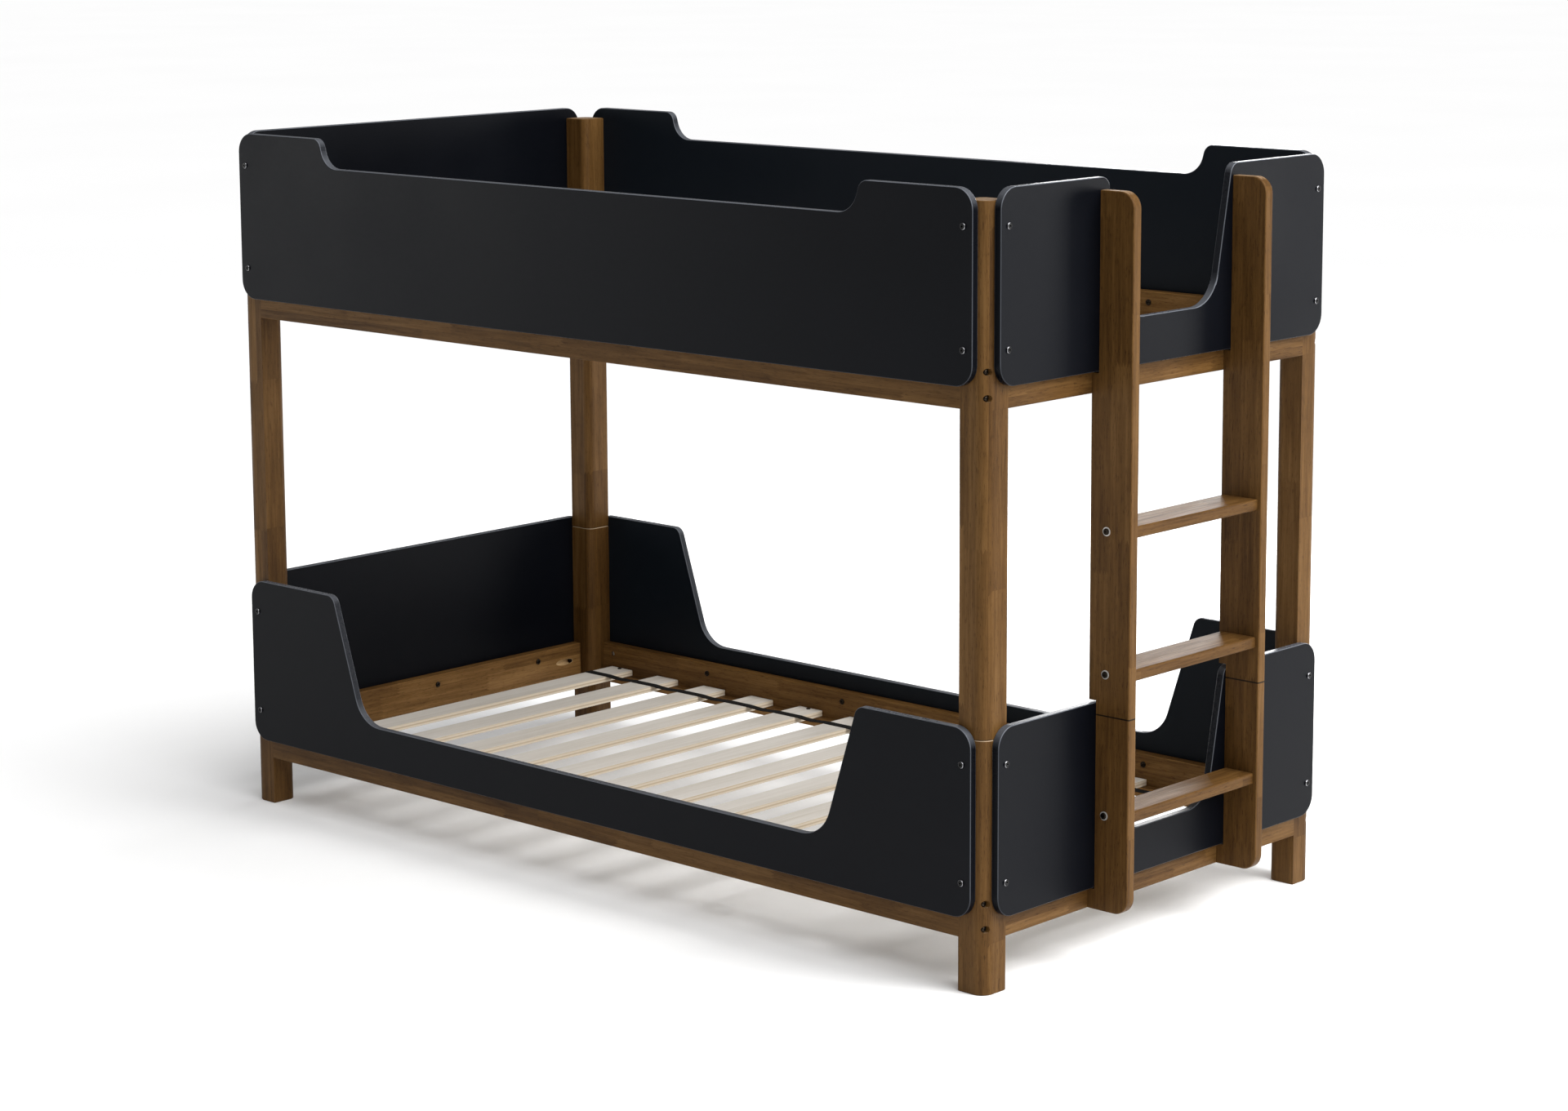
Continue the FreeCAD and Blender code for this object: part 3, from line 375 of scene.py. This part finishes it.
def lacquer(name, thickness):
    """Satin black paint, painted greyer as a highlight on rims that face upwards and along a board's
    rounded arrises, and painted lighter on the long panels' faces towards the mattress.

    Thickness is the axis through the board.
    """
    shader = Shader(name, Specular_IOR_Level=0.08)
    position, normal = shader.coordinates()
    normals = shader.split(normal)
    across = shader.math("ABSOLUTE", normals[AXES[thickness]])
    rim = shader.remap(across, 0.97, 0.80)
    arris = shader.math("MULTIPLY", rim, shader.remap(across, 0.10, 0.35))
    raised = shader.math("MULTIPLY", rim, shader.remap(normals[2], 0.1, 0.7))
    broad = shader.noise(position, 3.0, 2.0)
    fine = shader.noise(position, 160.0, 2.0)
    specks = shader.remap(shader.noise(position, 1400.0, 1.0), 0.70, 0.80)
    colour = shader.ramp(broad, ((0.3, PAINT_DARK), (0.7, PAINT_LIGHT)))
    colour = shader.mix(shader.math("MULTIPLY", specks, 0.2), colour, PAINT_SPECK)
    # Painted light: the long panels' faces towards the mattress are painted lighter than their outer
    # faces.
    if thickness == "Y":
        inner = inner_mask(shader, position, normal, thickness)
        colour = shader.mix(inner, colour, PAINT_INNER_LIGHTING)
    # Painted highlight on rims that face upward, and a thinner one along the rounded arrises,
    # stronger as they face up.
    colour = shader.mix(raised, colour, PAINT_RIM_HIGHLIGHT)
    lit = shader.math("MULTIPLY", arris, shader.remap(normals[2], -0.2, 0.4, 0.25, 0.75))
    colour = shader.mix(lit, colour, PAINT_ARRIS_HIGHLIGHT)
    roughness = shader.math(
        "ADD",
        shader.remap(broad, 0.3, 0.7, 0.34, 0.42),
        shader.remap(fine, 0.3, 0.7, -0.02, 0.02),
    )
    roughness = shader.math("MULTIPLY_ADD", rim, -0.10, roughness)
    return shader.finish(colour, roughness, fine, 0.00012, 0.25)


SLAT_DARK = rgb(0.48, 0.43, 0.36)
SLAT_MID = rgb(0.57, 0.53, 0.475)
SLAT_LIGHT = rgb(0.64, 0.605, 0.56)
SLAT_PLY_DARK = rgb(0.45, 0.355, 0.245)
SLAT_PLY_LIGHT = rgb(0.62, 0.535, 0.42)
SLAT_KNOT = rgb(0.09, 0.05, 0.03)
SLAT_END = rgb(0.55, 0.42, 0.26)
SLAT_PITCH = 0.145
SLAT_PHASE = 50.2
PLY_PAIR = 0.0034


def slat_wood():
    """Pale sanded boards: fine grain along Y, plies and dark flecks on the long edges."""
    shader = Shader("pale_slat_wood", Roughness=0.62)
    position, normal = shader.coordinates()
    x, y, z = shader.split(position)
    normals = shader.split(normal)
    board = shader.math("FLOOR", shader.math("MULTIPLY_ADD", x, 1 / SLAT_PITCH, SLAT_PHASE))
    board_tone = shader.node("TexWhiteNoise", {"W": board}, noise_dimensions="1D")
    stretched = shader.combine(
        shader.math("MULTIPLY_ADD", board_tone, 9.0, x),
        shader.math("MULTIPLY", y, 0.05),
        z,
    )
    streaks = shader.noise(stretched, 120.0, 4.0, 0.6, 0.4)
    bands = shader.noise(stretched, 28.0, 2.0, 0.5, 0.8)
    value = shader.math("MULTIPLY_ADD", bands, 0.45, shader.math("MULTIPLY", streaks, 0.45))
    value = shader.math("MULTIPLY_ADD", board_tone, 0.16, value)
    face = shader.ramp(value, ((0.25, SLAT_DARK), (0.50, SLAT_MID), (0.78, SLAT_LIGHT)))
    plies = shader.math("PINGPONG", shader.math("MULTIPLY_ADD", bands, 0.0030, z), PLY_PAIR)
    plies = shader.remap(plies, 0.0006, 0.0026)
    edge = shader.mix(plies, SLAT_PLY_DARK, SLAT_PLY_LIGHT)
    spots = shader.noise(shader.combine(x, shader.math("MULTIPLY", y, 0.22), z), 60.0, 1.0)
    spots = shader.remap(spots, 0.735, 0.765)
    edge = shader.mix(shader.math("MULTIPLY", spots, 0.8), edge, SLAT_KNOT)
    is_edge = shader.remap(shader.math("ABSOLUTE", normals[0]), 0.55, 0.85)
    is_end = shader.remap(shader.math("ABSOLUTE", normals[1]), 0.55, 0.85)
    colour = shader.mix(is_edge, face, edge)
    colour = shader.mix(is_end, colour, SLAT_END)
    roughness = shader.remap(streaks, 0.3, 0.7, 0.70, 0.55)
    return shader.finish(colour, roughness, streaks, 0.00025, 0.4)


WEB_DARK = rgb(0.003, 0.003, 0.003)
WEB_LIGHT = rgb(0.019, 0.018, 0.017)
WARP_PITCH = 0.0016
WEFT_HALF = 0.00055
CHEVRON_HALF = 0.0033


def webbing():
    """Woven black strap: threads along it that zigzag a little, crossed by a fine weft."""
    shader = Shader("black_webbing", Roughness=0.8, Specular_IOR_Level=0.12)
    position, _ = shader.coordinates()
    x, y, _ = shader.split(position)
    chevron = shader.math("PINGPONG", y, CHEVRON_HALF)
    warp = shader.math("PINGPONG", shader.math("ADD", x, chevron), WARP_PITCH / 2)
    weft = shader.math("PINGPONG", y, WEFT_HALF)
    weave = shader.math(
        "MULTIPLY",
        shader.remap(warp, 0.0, WARP_PITCH / 2),
        shader.remap(weft, 0.0, WEFT_HALF, 0.55, 1.0),
    )
    fuzz = shader.noise(position, 900.0, 2.0)
    value = shader.math("MULTIPLY_ADD", fuzz, 0.35, shader.math("MULTIPLY", weave, 0.65))
    colour = shader.ramp(value, ((0.1, WEB_DARK), (0.8, WEB_LIGHT)))
    return shader.finish(colour, None, weave, 0.0005, 0.8)


def metal(name, base, bright, roughness, metallic=1.0, rim=None):
    """Steel with fine marks and a little tarnish, and a painted glint on the rim where the surface
    turns away.
    """
    shader = Shader(name, Metallic=metallic, Roughness=roughness)
    position, normal = shader.coordinates()
    cloud = shader.noise(position, 260.0, 3.0, 0.6)
    scratch = shader.noise(position, 2600.0, 2.0)
    colour = shader.mix(shader.remap(cloud, 0.35, 0.65), base, bright)
    if rim:
        # Painted glint: the rim colour goes where the head's surface turns away from its axis.
        x, y, _ = shader.split(normal)
        turn = shader.math("MAXIMUM", shader.math("ABSOLUTE", x), shader.math("ABSOLUTE", y))
        colour = shader.mix(shader.remap(turn, 0.86, 0.76), colour, rim)
    rough = shader.math(
        "ADD",
        shader.remap(cloud, 0.3, 0.7, roughness + 0.06, roughness - 0.04),
        shader.remap(scratch, 0.3, 0.7, -0.03, 0.05),
    )
    return shader.finish(colour, rough, scratch, 0.00005, 0.3)


GRAINS = {"post": ("Z", "X"), "stile": ("Z", "X"), "rung": ("Y", "X"), "cleat": ("X", "Z")}
RAIL_GRAINS = {"front": ("X", "Z"), "back": ("X", "Z"), "head": ("Y", "Z"), "foot": ("Y", "Z")}
WALNUTS = {
    ("Z", "X"): walnut("walnut_upright", "Z", "X"),
    ("X", "Z"): walnut("walnut_lengthwise", "X", "Z"),
    ("Y", "X"): walnut("walnut_rungs", "Y", "X"),
    ("Y", "Z"): walnut("walnut_crosswise", "Y", "Z", pockets=True),
}
ZINC = rgb(0.46, 0.45, 0.42), rgb(0.64, 0.62, 0.59)
BLACK_OXIDE = rgb(0.012, 0.010, 0.008), rgb(0.040, 0.031, 0.023)
BOLT_BLACK = rgb(0.012, 0.012, 0.012), rgb(0.03, 0.03, 0.03)
# Painted glint for the rims of the panel bolt heads.
BOLT_RIM_GLINT = rgb(0.42, 0.42, 0.44)
FINISHES = {
    "slat_wood": slat_wood(),
    "webbing": webbing(),
    "zinc_steel": metal("zinc_steel", *ZINC, 0.34, metallic=0.45),
    "black_steel": metal("black_steel", *BLACK_OXIDE, 0.38),
}
PANEL_BOLTS = metal("panel_bolt_steel", *BOLT_BLACK, 0.32, rim=BOLT_RIM_GLINT)
LACQUERS = {
    ("front", "back"): lacquer("lacquer_long_panels", "Y"),
    ("head", "foot"): lacquer("lacquer_end_panels", "X"),
}


def finish_of(node):
    """The material a CAD node takes, by its slot, and by the way its board lies."""
    if node.endswith("panel_bolts"):
        return PANEL_BOLTS
    if SLOTS[node] not in ("walnut", "black_panel"):
        return FINISHES[SLOTS[node]]
    kind, side = node.split("_")[1:3]
    if kind == "panel":
        return next(made for sides, made in LACQUERS.items() if side in sides)
    return WALNUTS[RAIL_GRAINS[side] if kind == "rail" else GRAINS[kind]]


for name, thing in NODES.items():
    thing.data.materials.clear()
    thing.data.materials.append(finish_of(name))


# ---- straps --------------------------------------------------------------------------------

STRAP_SAG = 0.0022
STRAP_LIFT = 0.0002
STRAP_THICK = 0.0012
STRAP_STEPS = 12
SLAT_STEPS = 4
SLAT_COUNT = 13
SLAT_WIDTH = 0.066


def strap_stations(start_x, end_x):
    """Places along a strap, as (x, drop): flat over each slat, with a dip in each gap."""
    pitch = (end_x - start_x - SLAT_WIDTH) / (SLAT_COUNT - 1)
    gap = pitch - SLAT_WIDTH
    stations = []
    for index in range(SLAT_COUNT):
        start = start_x + index * pitch
        stations += [(start + SLAT_WIDTH * k / SLAT_STEPS, 0.0) for k in range(SLAT_STEPS + 1)]
        if index < SLAT_COUNT - 1:
            for k in range(1, STRAP_STEPS):
                share = k / STRAP_STEPS
                drop = -STRAP_SAG * math.sin(math.pi * share)
                stations.append((start + SLAT_WIDTH + gap * share, drop))
    return stations


def strap_section(half):
    """The strap's outline as (y, z), flat below and above, with a rounded selvedge each side."""
    edge = STRAP_THICK / 2
    inset, rise = edge * 0.35, edge * 0.25
    return [
        (-half, edge),
        (-half + inset, rise),
        (-half + edge, 0.0),
        (half - edge, 0.0),
        (half - inset, rise),
        (half, edge),
        (half - inset, 2 * edge - rise),
        (half - edge, 2 * edge),
        (-half + edge, 2 * edge),
        (-half + inset, 2 * edge - rise),
    ]


def strap(unit, side):
    """A webbing band over the slats that sags a little in each gap, with rounded selvedges."""
    node = "%s_strap_%s" % (unit, side)
    low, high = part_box(node)
    slat_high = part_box("%s_slats" % unit)[1]
    middle = (low[1] + high[1]) / 2
    stations = strap_stations(low[0], high[0])
    section = strap_section((high[1] - low[1]) / 2)
    vertices = []
    for x, drop in stations:
        for y, z in section:
            vertices.append((x, middle + y, slat_high[2] + STRAP_LIFT + drop + z))
    size = len(section)
    faces = []
    for row in range(len(stations) - 1):
        for k in range(size):
            a, b = row * size + k, row * size + (k + 1) % size
            faces.append((a, b, b + size, a + size))
    faces.append(tuple(range(size))[::-1])
    last_row = (len(stations) - 1) * size
    faces.append(tuple(last_row + k for k in range(size)))
    mesh = bpy.data.meshes.new(node + "_web")
    mesh.from_pydata(vertices, [], faces)
    mesh.update()
    for polygon in mesh.polygons:
        polygon.use_smooth = True
    mesh.materials.append(FINISHES["webbing"])
    piece = bpy.data.objects.new("webbing_%s_%s" % (unit, side), mesh)
    bpy.context.scene.collection.objects.link(piece)
    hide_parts(node)
    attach(piece, "%s_bed" % unit)


for unit in UNITS:
    for side in ("front", "back"):
        strap(unit, side)


# ---- floor, light and camera ---------------------------------------------------------------


FLOOR_REACH = 40.0
FLOOR_DARK = rgb(0.96, 0.96, 0.96)
FLOOR_LIGHT = rgb(0.975, 0.975, 0.975)


def stage_floor():
    """A flat white floor, large enough to reach the horizon of every view."""
    mesh = bpy.data.meshes.new("floor")
    signs = ((-1, -1), (1, -1), (1, 1), (-1, 1))
    corners = [(x * FLOOR_REACH, y * FLOOR_REACH, 0) for x, y in signs]
    mesh.from_pydata(corners, [], [(0, 1, 2, 3)])
    floor = bpy.data.objects.new("floor", mesh)
    bpy.context.scene.collection.objects.link(floor)
    shader = Shader("floor_paper", Roughness=0.9, Specular_IOR_Level=0.1)
    position, _ = shader.coordinates()
    tone = shader.noise(position, 0.6, 2.0)
    colour = shader.ramp(tone, ((0.3, FLOOR_DARK), (0.7, FLOOR_LIGHT)))
    mesh.materials.append(shader.finish(colour))


def area_light(name, place, aim, size, power):
    """A soft panel of light at a place, aimed at a point; size is (width, height) in metres."""
    data = bpy.data.lights.new(name, "AREA")
    data.shape = "RECTANGLE"
    data.size, data.size_y = size
    data.energy = power
    light = bpy.data.objects.new(name, data)
    light.location = place
    light.rotation_euler = (Vector(aim) - Vector(place)).to_track_quat("-Z", "Y").to_euler()
    bpy.context.scene.collection.objects.link(light)


SKY_TO_CAMERA = 1.0
SKY_TO_OBJECT = 0.18


def sky():
    """A white surround where it is seen directly, and a dimmer one for the light it gives."""
    world = bpy.data.worlds.new("studio")
    world.use_nodes = True
    tree = world.node_tree
    background = tree.nodes["Background"]
    path = tree.nodes.new("ShaderNodeLightPath")
    strength = tree.nodes.new("ShaderNodeMapRange")
    strength.inputs["To Min"].default_value = SKY_TO_OBJECT
    strength.inputs["To Max"].default_value = SKY_TO_CAMERA
    tree.links.new(path.outputs["Is Camera Ray"], strength.inputs["Value"])
    tree.links.new(strength.outputs["Result"], background.inputs["Strength"])
    background.inputs["Color"].default_value = rgb(1.0, 1.0, 1.0)
    bpy.context.scene.world = world
    bpy.context.scene.view_settings.view_transform = "Standard"


def sun_light(name, azimuth, elevation, strength, angle):
    """Even soft light from one side of the sky; azimuth 0 comes from the front, 90 from the foot."""
    data = bpy.data.lights.new(name, "SUN")
    data.energy = strength
    data.angle = math.radians(angle)
    light = bpy.data.objects.new(name, data)
    turn, rise = math.radians(azimuth), math.radians(elevation)
    level = math.cos(rise)
    towards = Vector((math.sin(turn) * level, -math.cos(turn) * level, math.sin(rise)))
    light.rotation_euler = towards.to_track_quat("Z", "Y").to_euler()
    bpy.context.scene.collection.objects.link(light)


stage_floor()
sky()
CENTRE = (MIDDLE_X, 0.0, 0.7)
sun_light("overhead", 90.0, 57.0, 3.25, 70.0)
area_light("foot_side", (3.4, 0.5, 2.7), (0.95, 0.0, 1.1), (1.6, 2.8), 115.0)
area_light("foot_glow", (4.9, 5.6, 1.0), CENTRE, (2.2, 1.8), 45.0)
area_light("head_glow", (-6.4, -4.6, 1.5), CENTRE, (1.6, 2.2), 55.0)
area_light("back_low", (-0.6, 3.8, 1.5), (MIDDLE_X, 0.0, 0.25), (3.2, 0.8), 90.0)

CAMERA_PLACE = (4.708, -5.017, 1.928)
CAMERA_HEADING = math.radians(42.968)
CAMERA_TILT = math.radians(9.053)
CAMERA_ROLL = math.radians(-0.275)
CAMERA_LENS = 81.31
CAMERA_SHIFT_Y = -0.08


def camera():
    """The photo's viewpoint, fitted to the straight edges of posts, rails and panels."""
    data = bpy.data.cameras.new("camera")
    data.lens = CAMERA_LENS
    data.sensor_width = 36.0
    data.shift_y = CAMERA_SHIFT_Y
    data.clip_end = 200.0
    body = bpy.data.objects.new("camera", data)
    turn = Matrix.Rotation(CAMERA_HEADING, 4, "Z")
    tilt = Matrix.Rotation(math.pi / 2 - CAMERA_TILT, 4, "X")
    roll = Matrix.Rotation(CAMERA_ROLL, 4, "Z")
    body.matrix_world = Matrix.Translation(CAMERA_PLACE) @ turn @ tilt @ roll
    bpy.context.scene.collection.objects.link(body)
    bpy.context.scene.camera = body


camera()
